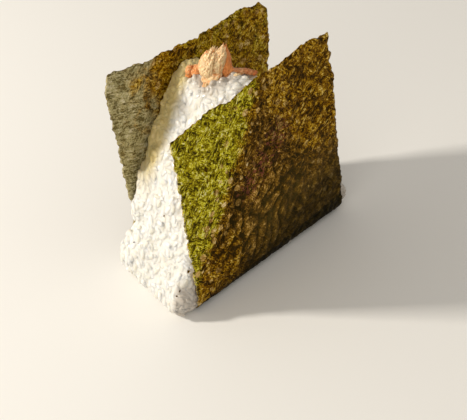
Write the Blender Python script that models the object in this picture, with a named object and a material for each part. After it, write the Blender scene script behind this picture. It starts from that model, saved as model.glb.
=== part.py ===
"""Onigiri: a triangular block of rice in a folded strip of nori, with flaked salmon on its top.

The triangle lies in the XZ plane and the block's thickness runs along Y. The strip of nori passes
under the block and stands up against both triangular faces, taller and wider than the block's top,
and leaves the two slanted sides bare. Its side towards -Y is called the front, the other the back.
The origin is the middle of the strip's flat underside.
"""

import math
from dataclasses import dataclass

import bmesh
import bpy
import numpy as np
from mathutils import Vector, noise

# Strip of nori, in metres and degrees.
NORI_WIDTH = 0.0715
NORI_THICKNESS = 0.0005
SHEET_SPACING = 0.0376  # between the middles of the two standing sheets
FRONT_HEIGHT = 0.0742  # of the front sheet at the middle of its top edge
BACK_HEIGHT = 0.0732
FOLD_RADIUS = 0.005  # where the strip turns up from the base
STRIP_SKEW = 3.8  # the strip runs a little askew under the block
EDGE_WOBBLE = 0.0007  # of the torn-looking long edges
EDGE_WOBBLE_LENGTH = 0.011
BILLOW = 0.0008  # soft outward waves of the sheets
BILLOW_LENGTH = 0.026
BILLOW_START = 0.020  # height below which the waves fade out
FREE_REACH = 0.030  # distance past the rice at which a corner has its full lean
NORI_COLUMNS = 18
NORI_ROWS = (14, 3, 4, 3, 14)  # front sheet, fold, base, fold, back sheet

# How far each sheet's free corners lean outwards: at the left (-X) and at the right.
FRONT_LEAN = (0.0012, 0.0004)
BACK_LEAN = (0.0018, 0.0006)

# Rise of each sheet's ragged top edge over a straight one, from left to right.
FRONT_EDGE_RISE = (0.0004, 0.0006, 0.0018, -0.0008, 0.0016, 0.0012, 0.0016, 0.0010, 0.0004)
BACK_EDGE_RISE = (-0.0006, -0.0004, -0.0006, -0.0006, -0.0002, 0.0006, 0.0018, 0.0024, -0.0022)

# Bulge of the strip's long edges over straight ones, from the front's top to the back's.
LEFT_EDGE_BULGE = (0.0, -0.0008, -0.0006, -0.0002, 0.0, 0.0, 0.0, 0.0, 0.0002, 0.0012, -0.0004)
RIGHT_EDGE_BULGE = (-0.0006, 0.0012, 0.0008, 0.0014, 0.0008, 0.0, 0.0, 0.0, 0.0002, 0.0, -0.0008)

# Block of rice. Its slanted sides would reach RICE_FOOT from the middle at z = 0, and would meet
# at RICE_PEAK, but a top face cuts them off first.
RICE_THICKNESS = 0.0356
RICE_OFFSET = -0.0022  # of its middle from the strip's, along X
RICE_FOOT = 0.0464
RICE_PEAK = 0.0832
RICE_TOP = 0.0718
RICE_BOTTOM = 0.0011
RICE_EDGE = 0.0042  # rounding between the triangular faces and the sides
RICE_ROUNDNESS = 10  # a higher power gives the triangle sharper corners
RIDGE_FALL = (0.0004, 0.0026)  # drop of the top's front and back ends under its middle
FOOT_TUCK = 0.0062  # how far its feet draw in towards the back
TUCK_HEIGHT = 0.016
SPILL = 0.0012  # how far the rice swells past the faces' planes outside the nori's edges
SPILL_START = 0.0382
SPILL_WIDTH = 0.004
OPEN_BUMP = 0.0014  # half the relief of the grains on the bare sides
COVERED_BUMP = 0.0003  # the same where the nori lies against the rice
GRAIN_SPACING = 0.0058
CLUMP_SPACING = 0.013
GRAIN_MIDDLE = 0.55  # usual distance to the nearest grain's middle, in spacings
GRAIN_SHARE = 1.2
CLUMP_SHARE = 0.7
RICE_AROUND = 88
RICE_RINGS = (4, 3, 8)  # along a triangular face, its rounded edge and the sides

# Salmon.
LAYER_CURVE = 0.22  # bend of the layers, as a share of the piece's half width
SALMON_ROUGHNESS = 0.10
SALMON_CRUMBLE = 3.0  # waves of the roughness across a piece's half width
METRES_TO_MM = 1000.0
SOCKET_GAP = 0.00035  # free space between a piece of salmon and the rice


@dataclass(frozen=True)
class Flake:
    """A piece of salmon: a lump of curved upright layers, each with its own height."""

    name: str
    place: tuple[float, float, float]
    half_size: tuple[float, float, float]  # across the layers, along them, and up
    turn: float  # degrees about Z
    tilt: float  # degrees about Y, applied before the turn
    layer_tops: tuple[float, ...]  # of each layer, as a share of the half height
    groove: float  # depth of the seams between layers, as a share of the half sizes
    slump: float  # how far the foot slides towards local -Y, as a share of its depth
    fineness: int  # subdivisions of the sphere that it is shaped from


FLAKES = (
    Flake(
        name="salmon_chunk",
        place=(-0.0032, 0.0002, 0.0730),
        half_size=(0.0060, 0.0045, 0.0064),
        turn=-41.0,
        tilt=0.0,
        layer_tops=(0.80, 1.00, 1.04, 1.34, 1.20),
        groove=0.22,
        slump=0.35,
        fineness=4,
    ),
    Flake(
        name="salmon_flake_left",
        place=(-0.0062, 0.0088, 0.0698),
        half_size=(0.0030, 0.0020, 0.0026),
        turn=-75.0,
        tilt=12.0,
        layer_tops=(1.10, 0.95),
        groove=0.35,
        slump=0.20,
        fineness=3,
    ),
    Flake(
        name="salmon_flake_right",
        place=(0.0022, -0.0082, 0.0704),
        half_size=(0.0051, 0.0020, 0.0018),
        turn=-88.0,
        tilt=1.0,
        layer_tops=(1.0, 1.15, 1.0),
        groove=0.20,
        slump=0.0,
        fineness=3,
    ),
)

SLANT = math.atan2(RICE_FOOT, RICE_PEAK)  # elevation of the slanted sides' outward direction
SLANT_DISTANCE = RICE_FOOT * math.cos(SLANT)
CENTRE_Z = (SLANT_DISTANCE + RICE_BOTTOM) / (1.0 + math.sin(SLANT))  # as far from all three sides
INNER_RADIUS = CENTRE_Z - RICE_BOTTOM

BASE_HALF = SHEET_SPACING / 2 - FOLD_RADIUS
FOLD_LENGTH = FOLD_RADIUS * math.pi / 2


def add_object(name: str, mesh: bmesh.types.BMesh) -> bpy.types.Object:
    """Turn a bmesh into a smooth-shaded object of the scene."""
    data = bpy.data.meshes.new(name)
    mesh.to_mesh(data)
    mesh.free()
    data.shade_smooth()
    thing = bpy.data.objects.new(name, data)
    bpy.context.scene.collection.objects.link(thing)
    return thing


def paint(thing: bpy.types.Object, colour: tuple[float, float, float], roughness: float) -> None:
    """Give an object a material of its own."""
    material = bpy.data.materials.new(thing.name)
    material.use_nodes = True
    shader = material.node_tree.nodes["Principled BSDF"]
    shader.inputs["Base Color"].default_value = (*colour, 1.0)
    shader.inputs["Roughness"].default_value = roughness
    shader.inputs["Metallic"].default_value = 0.0
    thing.data.materials.append(material)


def smooth_step(value: float) -> float:
    """Ease from 0 to 1 as the value does, and stay level outside that range."""
    value = min(max(value, 0.0), 1.0)
    return value * value * (3.0 - 2.0 * value)


# Rice.


def triangle_radius(angle: float) -> float:
    """Distance from the triangle's centre to its rounded outline, at an angle up from +X."""
    sides = (
        (SLANT, INNER_RADIUS),
        (math.pi - SLANT, INNER_RADIUS),
        (-math.pi / 2, INNER_RADIUS),
        (math.pi / 2, RICE_TOP - CENTRE_Z),
    )
    total = 0.0
    for facing, distance in sides:
        total += max(0.0, math.cos(angle - facing) / distance) ** RICE_ROUNDNESS
    return total ** (-1.0 / RICE_ROUNDNESS)


def triangle_outline() -> np.ndarray:
    """Points (x, z) from the triangle's centre, evenly spaced along its outline."""
    angles = np.linspace(0.0, 2.0 * math.pi, 20 * RICE_AROUND + 1)
    radii = np.array([triangle_radius(angle) for angle in angles])
    dense = np.column_stack((radii * np.cos(angles), radii * np.sin(angles)))
    steps = np.linalg.norm(np.diff(dense, axis=0), axis=1)
    length = np.concatenate(([0.0], np.cumsum(steps)))
    even = np.linspace(0.0, length[-1], RICE_AROUND + 1)[:-1]
    return np.column_stack([np.interp(even, length, dense[:, axis]) for axis in (0, 1)])


def ring_stations() -> list[tuple[float, float]]:
    """Share of the outline's size and the Y of every ring, from the front face to the back."""
    face_rings, edge_rings, side_rings = RICE_RINGS
    half = RICE_THICKNESS / 2
    flat = 1.0 - RICE_EDGE / INNER_RADIUS
    front = [(flat * ring / face_rings, -half) for ring in range(face_rings)]
    for ring in range(edge_rings):
        turn = math.pi / 2 * ring / edge_rings
        share = flat + RICE_EDGE * math.sin(turn) / INNER_RADIUS
        front.append((share, -half + RICE_EDGE * (1.0 - math.cos(turn))))
    side = half - RICE_EDGE
    sides = [(1.0, -side + 2.0 * side * ring / side_rings) for ring in range(side_rings + 1)]
    back = [(share, -y) for share, y in reversed(front)]
    return front + sides + back


def settle(point: Vector) -> Vector:
    """Press the regular block out of shape: its top sags, its feet tuck in and its ends swell."""
    depth = point.y / (RICE_THICKNESS / 2)
    fall = RIDGE_FALL[0] if depth < 0.0 else RIDGE_FALL[1]
    rise = smooth_step((point.z - CENTRE_Z) / (RICE_TOP - CENTRE_Z))
    tuck = smooth_step((depth + 1.0) / 2.0) * smooth_step(1.0 - point.z / TUCK_HEIGHT)
    x = point.x * (1.0 - tuck * FOOT_TUCK / RICE_FOOT) + RICE_OFFSET
    spill = SPILL * smooth_step((abs(x) - SPILL_START) / SPILL_WIDTH)
    return Vector((x, point.y + spill * depth, point.z - fall * depth * depth * rise))


def grain_bump(point: Vector) -> float:
    """Height of the rice's relief at a point, between about -1 and 1."""
    grain = GRAIN_MIDDLE - noise.voronoi(point / GRAIN_SPACING)[0][0]
    clump = noise.noise(point / CLUMP_SPACING)
    return GRAIN_SHARE * grain + CLUMP_SHARE * clump


def make_rice() -> bpy.types.Object:
    """Model the rounded triangular block with its uneven, grainy sides."""
    outline = triangle_outline()
    stations = ring_stations()
    mesh = bmesh.new()
    bmesh.ops.create_uvsphere(
        mesh, u_segments=RICE_AROUND, v_segments=len(stations) - 1, radius=1.0
    )
    # The sphere's poles turn to the two triangular faces: its +Z towards the front, its +Y up.
    for vertex in mesh.verts:
        around = math.atan2(vertex.co.y, vertex.co.x) / (2.0 * math.pi)
        from_pole = math.acos(min(max(vertex.co.z, -1.0), 1.0)) / math.pi
        x, z = outline[round(around * RICE_AROUND) % RICE_AROUND]
        share, y = stations[round(from_pole * (len(stations) - 1))]
        vertex.co = settle(Vector((share * x, y, CENTRE_Z + share * z)))
    mesh.normal_update()
    shifts = []
    for vertex in mesh.verts:
        covered = max(abs(vertex.normal.y), -vertex.normal.z, 0.0)
        height = OPEN_BUMP + (COVERED_BUMP - OPEN_BUMP) * smooth_step(covered)
        shifts.append(height * grain_bump(vertex.co) * vertex.normal)
    for vertex, shift in zip(mesh.verts, shifts):
        vertex.co += shift
    rice = add_object("rice", mesh)
    paint(rice, (0.86, 0.84, 0.78), 0.45)
    return rice


# Nori.


def sheet_length(across: float, height: float, rises: tuple[float, ...], side: int) -> float:
    """Distance along the strip from the middle of its base to a sheet's top edge."""
    standing = height - FOLD_RADIUS - NORI_THICKNESS / 2
    ragged = np.interp(across, np.linspace(-1.0, 1.0, len(rises)), rises)
    skewed = -side * math.tan(math.radians(STRIP_SKEW)) * across * NORI_WIDTH / 2
    return BASE_HALF + FOLD_LENGTH + standing + ragged + skewed


def strip_distance(row: float, across: float) -> float:
    """Distance along the strip of a row of the mesh, below 0 towards the front."""
    marks = np.concatenate(([0], np.cumsum(NORI_ROWS)))
    stretches = (
        -sheet_length(across, FRONT_HEIGHT, FRONT_EDGE_RISE, -1),
        -BASE_HALF - FOLD_LENGTH,
        -BASE_HALF,
        BASE_HALF,
        BASE_HALF + FOLD_LENGTH,
        sheet_length(across, BACK_HEIGHT, BACK_EDGE_RISE, 1),
    )
    return float(np.interp(row, marks, stretches))


def fold(distance: float) -> tuple[Vector, Vector]:
    """Place in the YZ plane of the folded strip's middle, and its outward direction there."""
    side = math.copysign(1.0, distance)
    past_base = max(abs(distance) - BASE_HALF, 0.0)
    turn = min(past_base / FOLD_RADIUS, math.pi / 2)
    y = min(abs(distance), BASE_HALF) + FOLD_RADIUS * math.sin(turn)
    z = NORI_THICKNESS / 2 + FOLD_RADIUS * (1.0 - math.cos(turn)) + max(past_base - FOLD_LENGTH, 0.0)
    return Vector((0.0, side * y, z)), Vector((0.0, side * math.sin(turn), -math.cos(turn)))


def edge_shift(across: float, distance: float) -> float:
    """Sideways shift of the strip at its two long edges, fading towards its middle."""
    side = math.copysign(1.0, across)
    bulges = LEFT_EDGE_BULGE if side < 0.0 else RIGHT_EDGE_BULGE
    ends = BASE_HALF + FOLD_LENGTH + FRONT_HEIGHT
    bulge = np.interp(distance, np.linspace(-ends, ends, len(bulges)), bulges)
    wobble = noise.noise(Vector((distance / EDGE_WOBBLE_LENGTH, side, side)))
    return side * abs(across) ** 3 * float(bulge + EDGE_WOBBLE * wobble)


def outward_lean(x: float, height: float, side: float) -> float:
    """How far a sheet stands off its plane: its free corners lean and all of it waves softly."""
    past_rice = abs(x - RICE_OFFSET) * math.cos(SLANT) + height * math.sin(SLANT) - SLANT_DISTANCE
    left, right = FRONT_LEAN if side < 0.0 else BACK_LEAN
    lean = left if x < 0.0 else right
    wave = 0.5 + 0.5 * noise.noise(Vector((x, side, height)) / BILLOW_LENGTH)
    return lean * smooth_step(past_rice / FREE_REACH) + BILLOW * wave * smooth_step(height / BILLOW_START)


def make_nori() -> bpy.types.Object:
    """Model the strip as a grid, folded up along the path and thickened."""
    rows = sum(NORI_ROWS)
    mesh = bmesh.new()
    bmesh.ops.create_grid(mesh, x_segments=NORI_COLUMNS, y_segments=rows, size=1.0)
    for vertex in mesh.verts:
        across = vertex.co.x
        distance = strip_distance((vertex.co.y + 1.0) / 2.0 * rows, across)
        place, outward = fold(distance)
        place.x = across * NORI_WIDTH / 2 + math.tan(math.radians(STRIP_SKEW)) * distance
        place.x += edge_shift(across, distance)
        vertex.co = place + abs(outward.y) * outward * outward_lean(place.x, place.z, outward.y)
    nori = add_object("nori_wrap", mesh)
    thicken = nori.modifiers.new("thickness", "SOLIDIFY")
    thicken.thickness = NORI_THICKNESS
    thicken.offset = 0.0
    thicken.use_even_offset = True
    paint(nori, (0.09, 0.10, 0.025), 0.6)
    return nori


# Salmon.


def flake_point(direction: Vector, flake: Flake) -> Vector:
    """Point of a flake's surface in a direction from its centre, in the flake's own axes."""
    across, along, up = direction
    layers = len(flake.layer_tops)
    phase = layers / 2.0 * (1.0 + across + LAYER_CURVE * (up * up - 1.0))
    layer = min(max(int(phase), 0), layers - 1)
    seam = (1.0 - abs(math.sin(math.pi * phase))) ** 2
    crumble = noise.noise(SALMON_CRUMBLE * direction + METRES_TO_MM * Vector(flake.place))
    size = 1.0 - flake.groove * seam - SALMON_ROUGHNESS * abs(crumble)
    point = Vector((across, along, up)) * size
    if up > 0.0:
        point.z *= flake.layer_tops[layer]
    point.y += flake.slump * min(up, 0.0)
    return Vector(share * half for share, half in zip(point, flake.half_size))


def make_flake(flake: Flake) -> bpy.types.Object:
    """Model one piece of salmon."""
    mesh = bmesh.new()
    bmesh.ops.create_icosphere(mesh, subdivisions=flake.fineness, radius=1.0)
    for vertex in mesh.verts:
        vertex.co = flake_point(vertex.co.copy(), flake)
    salmon = add_object(flake.name, mesh)
    place_flake(salmon, flake)
    paint(salmon, (0.72, 0.42, 0.20), 0.55)
    return salmon


def place_flake(thing: bpy.types.Object, flake: Flake) -> None:
    """Put a flake, or its cutter, in its place on top of the rice."""
    thing.location = flake.place
    thing.rotation_euler = (0.0, math.radians(flake.tilt), math.radians(flake.turn))


def cut_socket(rice: bpy.types.Object, flake: Flake) -> None:
    """Cut the hollow that a flake sits in, a little larger than the flake's smooth envelope."""
    mesh = bmesh.new()
    bmesh.ops.create_icosphere(mesh, subdivisions=3, radius=1.0)
    for vertex in mesh.verts:
        slumped = vertex.co + Vector((0.0, flake.slump * min(vertex.co.z, 0.0), 0.0))
        gap = SOCKET_GAP * vertex.co
        vertex.co = gap + Vector(share * half for share, half in zip(slumped, flake.half_size))
    cutter = add_object(flake.name + "_socket", mesh)
    place_flake(cutter, flake)
    cutter.hide_render = True
    cutter.display_type = "WIRE"
    cut = rice.modifiers.new(cutter.name, "BOOLEAN")
    cut.operation = "DIFFERENCE"
    cut.solver = "EXACT"
    cut.object = cutter


def main() -> None:
    """Clear the scene and model every piece of the rice ball."""
    for thing in list(bpy.data.objects):
        bpy.data.objects.remove(thing)
    rice = make_rice()
    make_nori()
    for flake in FLAKES:
        make_flake(flake)
        cut_socket(rice, flake)


if __name__ == "__main__":
    main()
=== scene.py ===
"""Looks of an onigiri: grains of rice, a ragged strip of nori and flaked salmon.

Lengths are in metres, apart from the patterns and zones of the materials and the layers of the
salmon, which are in millimetres. The block's triangle lies in the XZ plane. Its side towards -Y
is the front, and -X is the left.
"""

import logging
import math
import random
from dataclasses import dataclass
from enum import StrEnum
from itertools import product
from typing import Any

import bmesh
import bpy
import numpy as np
from mathutils import Matrix, Vector, noise


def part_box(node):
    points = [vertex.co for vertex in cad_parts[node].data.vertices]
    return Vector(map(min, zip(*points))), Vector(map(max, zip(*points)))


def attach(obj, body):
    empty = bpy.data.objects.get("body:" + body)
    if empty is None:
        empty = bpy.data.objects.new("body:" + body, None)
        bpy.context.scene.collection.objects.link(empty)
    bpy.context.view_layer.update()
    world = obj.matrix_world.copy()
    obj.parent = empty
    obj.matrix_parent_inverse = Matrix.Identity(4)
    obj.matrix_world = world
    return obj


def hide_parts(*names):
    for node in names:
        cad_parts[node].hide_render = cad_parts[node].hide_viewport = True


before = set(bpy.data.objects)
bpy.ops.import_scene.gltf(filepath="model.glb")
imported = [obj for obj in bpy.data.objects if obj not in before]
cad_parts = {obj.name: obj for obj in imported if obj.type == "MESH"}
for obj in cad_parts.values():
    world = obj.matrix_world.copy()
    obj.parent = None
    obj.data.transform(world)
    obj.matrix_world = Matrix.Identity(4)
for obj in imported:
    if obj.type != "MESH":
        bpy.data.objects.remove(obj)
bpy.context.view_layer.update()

LOG = logging.getLogger("onigiri")
MM = 0.001

Colour = tuple[float, float, float]
Place = tuple[float, float, float]
Span = tuple[float, float]
Ramp = tuple[Colour, Colour, Colour, Colour]
BMesh = bmesh.types.BMesh
Material = bpy.types.Material


class Value:
    """A shader socket, whose arithmetic adds Math nodes."""

    def __init__(self, shader: "Shader", socket: bpy.types.NodeSocket) -> None:
        """Wrap a socket of a shader's nodes."""
        self.shader = shader
        self.socket = socket

    def __add__(self, other: "Value | float") -> "Value":
        """Sum of the two."""
        return self.shader.math("ADD", self, other)

    __radd__ = __add__

    def __sub__(self, other: "Value | float") -> "Value":
        """Difference of the two."""
        return self.shader.math("SUBTRACT", self, other)

    def __rsub__(self, other: float) -> "Value":
        """Difference of the two."""
        return self.shader.math("SUBTRACT", other, self)

    def __mul__(self, other: "Value | float") -> "Value":
        """Product of the two."""
        return self.shader.math("MULTIPLY", self, other)

    __rmul__ = __mul__


class Shader:
    """The nodes of one material, around its Principled BSDF."""

    def __init__(self, name: str, constants: dict[str, Any]) -> None:
        """Start a material.

        Args:
            name: Name of the material.
            constants: Values of the BSDF's sockets that stay the same all over the surface.
        """
        self.material = bpy.data.materials.new(name)
        self.material.use_nodes = True
        self.tree = self.material.node_tree
        self.surface = self.tree.nodes["Principled BSDF"]
        for socket, value in constants.items():
            self.surface.inputs[socket].default_value = value
        metres = self.node("TexCoord", output="Object")
        self.place = self.stretch(metres, (MM, MM, MM))

    def node(
        self,
        kind: str,
        settings: dict[str, Any] | None = None,
        inputs: dict[str | int, Any] | None = None,
        output: str | int = 0,
    ) -> Value:
        """Add a node.

        Args:
            kind: The node's type, without its first word.
            settings: Its properties. "stops" are the places and colours of a ramp.
            inputs: Values or links of its sockets.
            output: The socket that is wanted of it.

        Returns:
            The wanted socket.
        """
        node = self.tree.nodes.new("ShaderNode" + kind)
        for name, value in (settings or {}).items():
            if name != "stops":
                setattr(node, name, value)
                continue
            elements = node.color_ramp.elements
            for number, (position, colour) in enumerate(value):
                stop = elements[number] if number < len(elements) else elements.new(1.0)
                stop.position, stop.color = position, (*colour, 1.0)
        for name, value in (inputs or {}).items():
            if isinstance(value, Value):
                self.tree.links.new(value.socket, node.inputs[name])
            else:
                node.inputs[name].default_value = value
        return Value(self, node.outputs[output])

    def math(self, operation: str, *values: Value | float) -> Value:
        """Result of a Math node on one to three values."""
        return self.node("Math", {"operation": operation}, dict(enumerate(values)))

    def fade(self, value: Value, start: float, stop: float) -> Value:
        """Ease from 0 at one value to 1 at another."""
        inputs = {"Value": value, "From Min": start, "From Max": stop}
        return self.node("MapRange", {"interpolation_type": "SMOOTHSTEP"}, inputs)

    def stretch(self, place: Value, scale: Place, turn: Place = (0.0, 0.0, 0.0)) -> Value:
        """Make a pattern longer by a factor along each of its axes, turned by angles in degrees."""
        inputs = {"Vector": place, "Rotation": [math.radians(a) for a in turn], "Scale": scale}
        return self.node("Mapping", {"vector_type": "TEXTURE"}, inputs)

    def move(self, operation: str, *inputs: tuple[str | int, Any]) -> Value:
        """Result of a Vector Math node on places."""
        return self.node("VectorMath", {"operation": operation}, dict(inputs))

    def clouds(
        self, size: float, detail: float = 2.0, twist: float = 0.0, at: Value | None = None
    ) -> Value:
        """Soft noise from 0 to 1 with features of a size in millimetres."""
        inputs = {"Vector": at or self.place, "Scale": 1.0 / size, "Detail": detail}
        return self.node("TexNoise", None, {**inputs, "Distortion": twist}, "Fac")

    def ridges(self, size: float, at: Value, thinness: float) -> Value:
        """Thin bright threads, up to 1, where soft noise crosses its middle."""
        distance = self.math("ABSOLUTE", self.clouds(size, 1.0, 1.5, at) * 2.0 - 1.0)
        return self.math("MAXIMUM", 1.0 - distance * thinness, 0.0)

    def cells(self, size: float, at: Value, output: str) -> Value:
        """Distance to the nearest of scattered points, or that point's random colour."""
        return self.node("TexVoronoi", None, {"Vector": at, "Scale": 1.0 / size}, output)

    def attribute(self, name: str) -> Value:
        """A number that the mesh holds at its vertices."""
        return self.node("Attribute", {"attribute_name": name}, None, "Fac")

    def mix(self, factor: Value | float, low: Value | Colour, high: Value | Colour) -> Value:
        """Blend of two colours."""
        ends = [end if isinstance(end, Value) else (*end, 1.0) for end in (low, high)]
        return self.node("Mix", {"data_type": "RGBA"}, {0: factor, 6: ends[0], 7: ends[1]}, 2)

    def finish(self, links: dict[str, Value], relief: Value, depth: float) -> Material:
        """Join the patterns to the BSDF.

        Args:
            links: Values of the BSDF's sockets that change over the surface.
            relief: Height of the surface's fine relief, from 0 to 1.
            depth: Height of that relief in millimetres.

        Returns:
            The material.
        """
        bump = self.node("Bump", None, {"Distance": depth * MM, "Height": relief})
        for name, value in {**links, "Normal": bump}.items():
            self.tree.links.new(value.socket, self.surface.inputs[name])
        return self.material


@dataclass(frozen=True)
class RiceFinish:
    """Steamed rice: warm white, moist and a little translucent."""

    bright: Colour = (0.81, 0.795, 0.76)
    dull: Colour = (0.71, 0.675, 0.58)
    shaded: Colour = (0.52, 0.40, 0.13)
    dim: Colour = (0.50, 0.45, 0.39)

    def make(self) -> Material:
        """Build the material.

        Returns:
            The material.
        """
        constants = {
            "Subsurface Weight": 0.7,
            "Subsurface Radius": (1.0, 0.92, 0.80),
            "Subsurface Scale": 0.0009,
            "Coat Roughness": 0.12,
        }
        shader = Shader("steamed_rice", constants)
        dullness = shader.clouds(1.6, 3.0, 0.6) * 0.7 + shader.attribute("tint") * 0.5
        colour = shader.mix(shader.fade(dullness, 0.35, 0.95), self.bright, self.dull)
        # Painted shade: dim where the sheets and the salmon shade the rice, and shaded where light
        # through the back sheet tints it.
        colour = shader.mix(shader.attribute("dim"), colour, self.dim)
        colour = shader.mix(shader.attribute("shade"), colour, self.shaded)
        wet = shader.fade(shader.clouds(2.3), 0.45, 0.7)
        links = {"Base Color": colour, "Roughness": 0.62 - wet * 0.3, "Coat Weight": wet * 0.7}
        relief = shader.clouds(0.7) + shader.clouds(2.0, 1.0)
        return shader.finish(links, relief, depth=0.2)


class Mark(StrEnum):
    """Marks from 0 to 1 that the nori's vertices carry.

    GOLD to DUSK are zones laid over the brown in this order. GREEN and GOLD are painted light
    shining through the sheets, KHAKI is painted light on the back sheet's inner face, and DUSK is
    painted shade on the front sheet's lower right and along its foot, and a darker tone on the
    other outer faces and the crumbs. RIM is a painted highlight along the strip's long edges.
    """

    GOLD = "gold"
    MOSS = "moss"
    GREEN = "green"
    KHAKI = "khaki"
    DUSK = "dusk"
    ROSE = "rose"
    SPECKLED = "speckled"
    CALM = "calm"
    RIM = "rim"


@dataclass(frozen=True)
class NoriFinish:
    """Toasted nori, with a colour for each zone that the light reaches in another way.

    Each ramp's colours run from the dark gaps of the weave to its bright threads, and its last
    colour is a painted highlight on the brightest crests.
    """

    green: Ramp = (
        (0.045, 0.032, 0.0), (0.40, 0.31, 0.002), (0.95, 0.88, 0.05), (1.0, 0.94, 0.50),
    )
    brown: Ramp = (
        (0.022, 0.013, 0.0), (0.105, 0.044, 0.001), (0.34, 0.18, 0.015), (0.80, 0.48, 0.14),
    )
    gold: Ramp = (
        (0.036, 0.017, 0.0), (0.225, 0.095, 0.0), (0.66, 0.38, 0.01), (0.94, 0.72, 0.20),
    )
    khaki: Ramp = (
        (0.18, 0.145, 0.05), (0.48, 0.43, 0.21), (0.60, 0.54, 0.29), (0.76, 0.70, 0.48),
    )
    moss: Ramp = (
        (0.070, 0.034, 0.0), (0.36, 0.168, 0.0), (0.72, 0.46, 0.02), (0.92, 0.70, 0.16),
    )
    dusk: Ramp = (
        (0.004, 0.002, 0.0), (0.012, 0.008, 0.0), (0.040, 0.026, 0.003), (0.08, 0.055, 0.015),
    )
    scrap: Ramp = (
        (0.40, 0.22, 0.04), (0.80, 0.52, 0.16), (0.96, 0.76, 0.36), (1.0, 0.88, 0.60),
    )
    stops: tuple[float, ...] = (0.10, 0.46, 0.80, 1.0)
    rim: Colour = (0.98, 0.86, 0.50)
    rose: Colour = (0.30, 0.085, 0.055)
    calm_patch: Colour = (0.32, 0.22, 0.05)
    scrap_size: float = 3.0
    swirl: float = 0.9
    swirl_size: float = 0.8

    def make(self) -> Material:
        """Build the material.

        Returns:
            The material.
        """
        shader = Shader("toasted_nori", {"Specular IOR Level": 0.06})
        tone = self.weave(shader)
        colour = self.ramp(shader, tone, self.brown)
        # A zone's border wanders, and the zone stays away where its mark is 0.
        for number, zone in enumerate((Mark.GOLD, Mark.MOSS, Mark.GREEN, Mark.KHAKI)):
            drift = shader.clouds(4.4 + 0.6 * number, 5.0, 0.8) - 0.5
            share = shader.fade(shader.attribute(zone) * (drift * 5.0 + 2.0), 0.5, 1.5)
            colour = shader.mix(share, colour, self.ramp(shader, tone, getattr(self, zone)))
        # Lighter brown patches over the calm lower middle of the front sheet.
        calm_patch = shader.attribute(Mark.CALM) * shader.clouds(3.0, 4.0, 1.0) * 0.36
        colour = shader.mix(calm_patch, colour, self.calm_patch)
        blotches = shader.fade(shader.clouds(1.6, 4.0, 1.2), 0.52, 0.62)
        rose = blotches * shader.attribute(Mark.ROSE)
        colour = shader.mix(rose * 0.7, colour, self.rose)
        colour = shader.mix(self.scraps(shader), colour, self.ramp(shader, tone, self.scrap))
        # A painted highlight along the strip's long edges.
        rim = shader.attribute(Mark.RIM) * shader.fade(shader.clouds(0.9), 0.45, 0.6)
        colour = shader.mix(rim * 0.6, colour, self.rim)
        dusk = shader.attribute(Mark.DUSK) * (0.7 + shader.clouds(5.0, 5.0, 0.8) * 0.6)
        dusk = shader.fade(dusk, 0.0, 1.0)
        colour = shader.mix(dusk, colour, self.ramp(shader, tone, self.dusk))
        links = {"Base Color": colour, "Roughness": 0.72 - tone * 0.25}
        return shader.finish(links, tone, depth=0.5)

    def weave(self, shader: Shader) -> Value:
        """Work out the tone of the matted weed.

        It follows the relief's height, so that the gaps carry painted shade and the crests painted
        light, besides the weed's own mottle.

        Args:
            shader: The nori's shader.

        Returns:
            The tone, from 0 in the dark gaps to 1 on the bright strands.
        """
        rising = shader.stretch(shader.place, (2.2, 1.0, 0.8), (0.0, -50.0, 0.0))
        leaning = shader.stretch(shader.place, (2.0, 1.0, 0.8), (0.0, 40.0, 0.0))
        flat = shader.stretch(shader.place, (4.0, 1.0, 0.7), (0.0, 14.0, 0.0))
        hairs = shader.ridges(6.0, rising, 40.0) + shader.ridges(7.0, leaning, 50.0)
        streaks = shader.clouds(0.9, 2.0, 0.3, flat) - 0.5
        turned = shader.fade(shader.clouds(4.5, 2.0, 0.5), 0.42, 0.58)
        fibres = shader.clouds(0.85, 4.0, 0.9, rising)
        fibres = fibres + (shader.clouds(0.85, 4.0, 0.9, leaning) - fibres) * turned
        khaki, dusk, calm = map(shader.attribute, (Mark.KHAKI, Mark.DUSK, Mark.CALM))
        evenness = 1.0 - khaki * 0.15 - dusk * 0.25 - calm * 0.35
        rough = (0.55 + shader.clouds(3.2) * 0.9) * evenness
        specks = (shader.clouds(0.5, 2.0, 0.4) - 0.5) * 1.2
        grit = ((fibres - 0.5) * 2.6 + specks) * rough
        patch = (shader.clouds(2.4, 3.0, 1.0) - 0.5) * 2.0 + (shader.clouds(9.0, 2.0, 1.0) - 0.5)
        tone = shader.attribute("height") * 0.42 + hairs * 0.14 + streaks * khaki * 2.0
        return tone + grit + patch * 0.5 + calm * 0.04 + 0.22

    def ramp(self, shader: Shader, tone: Value, colours: Ramp) -> Value:
        """Colour of the weave's tone in one zone."""
        stops = zip(self.stops, colours)
        return shader.node("ValToRGB", {"stops": stops}, {"Fac": tone}, "Color")

    def scraps(self, shader: Shader) -> Value:
        """Scatter pale scraps, each a millimetre or two across.

        They are partly the weed's own pale bits and partly painted light shining through thin
        spots.

        Args:
            shader: The nori's shader.

        Returns:
            Their share of the colour.
        """
        swirl = {"Vector": shader.place, "Scale": 1.0 / self.swirl_size, "Detail": 2.0}
        push = shader.node("TexNoise", None, swirl, "Color")
        push = shader.move("SUBTRACT", (0, push), (1, (0.5, 0.5, 0.5)))
        push = shader.move("SCALE", (0, push), ("Scale", self.swirl))
        place = shader.move("ADD", (0, shader.place), (1, push))
        cell_colour = shader.cells(self.scrap_size, place, "Color")
        chance = shader.node("SeparateColor", None, {0: cell_colour})
        middle = shader.cells(self.scrap_size, place, "Distance") + 0.44 - chance * 0.55
        scrap = 1.0 - shader.fade(middle, 0.26, 0.40)
        return scrap * shader.attribute(Mark.SPECKLED) * 0.95


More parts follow.
